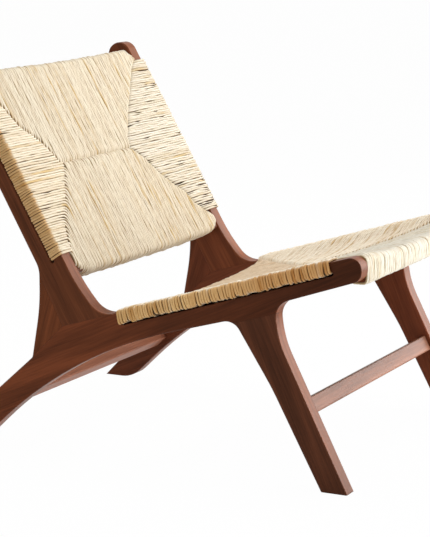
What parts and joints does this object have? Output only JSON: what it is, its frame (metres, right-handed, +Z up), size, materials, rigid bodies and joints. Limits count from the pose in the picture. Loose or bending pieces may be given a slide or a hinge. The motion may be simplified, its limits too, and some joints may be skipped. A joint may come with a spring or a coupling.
{
  "type": "lounge chair",
  "caption": "Low armless lounge chair with flat sculpted wooden side frames, joined by stretchers, and a rush-woven seat and back wound round the frames.",
  "frame": {"origin": "on the floor, below the middle of the chair's bounding box", "axes": "+Z up, +Y from the front edge of the seat towards the back, +X towards the sitter's left"},
  "size_m": [0.641, 0.835, 0.7112],
  "materials": {
    "dark_wood": "oiled satin, straight grain along each board",
    "dowel_wood": "plain hardwood, hidden in the joints",
    "rush": "matte twisted natural rush, straw to tan"
  },
  "bodies": {
    "root": {"right_back_post": "dark_wood", "right_gusset": "dark_wood", "right_lower_rail": "dark_wood", "right_front_leg": "dark_wood", "right_leg_dowels": "dowel_wood", "right_post_dowels": "dowel_wood", "right_gusset_dowels": "dowel_wood", "left_back_post": "dark_wood", "left_gusset": "dark_wood", "left_lower_rail": "dark_wood", "left_front_leg": "dark_wood", "left_leg_dowels": "dowel_wood", "left_post_dowels": "dowel_wood", "left_gusset_dowels": "dowel_wood", "back_top_rail": "dark_wood", "back_bottom_rail": "dark_wood", "seat_front_rail": "dark_wood", "seat_rear_rail": "dark_wood", "front_stretcher": "dark_wood", "rear_stretcher": "dark_wood", "back_weave": "rush", "seat_weave": "rush"}
  },
  "joints": []
}
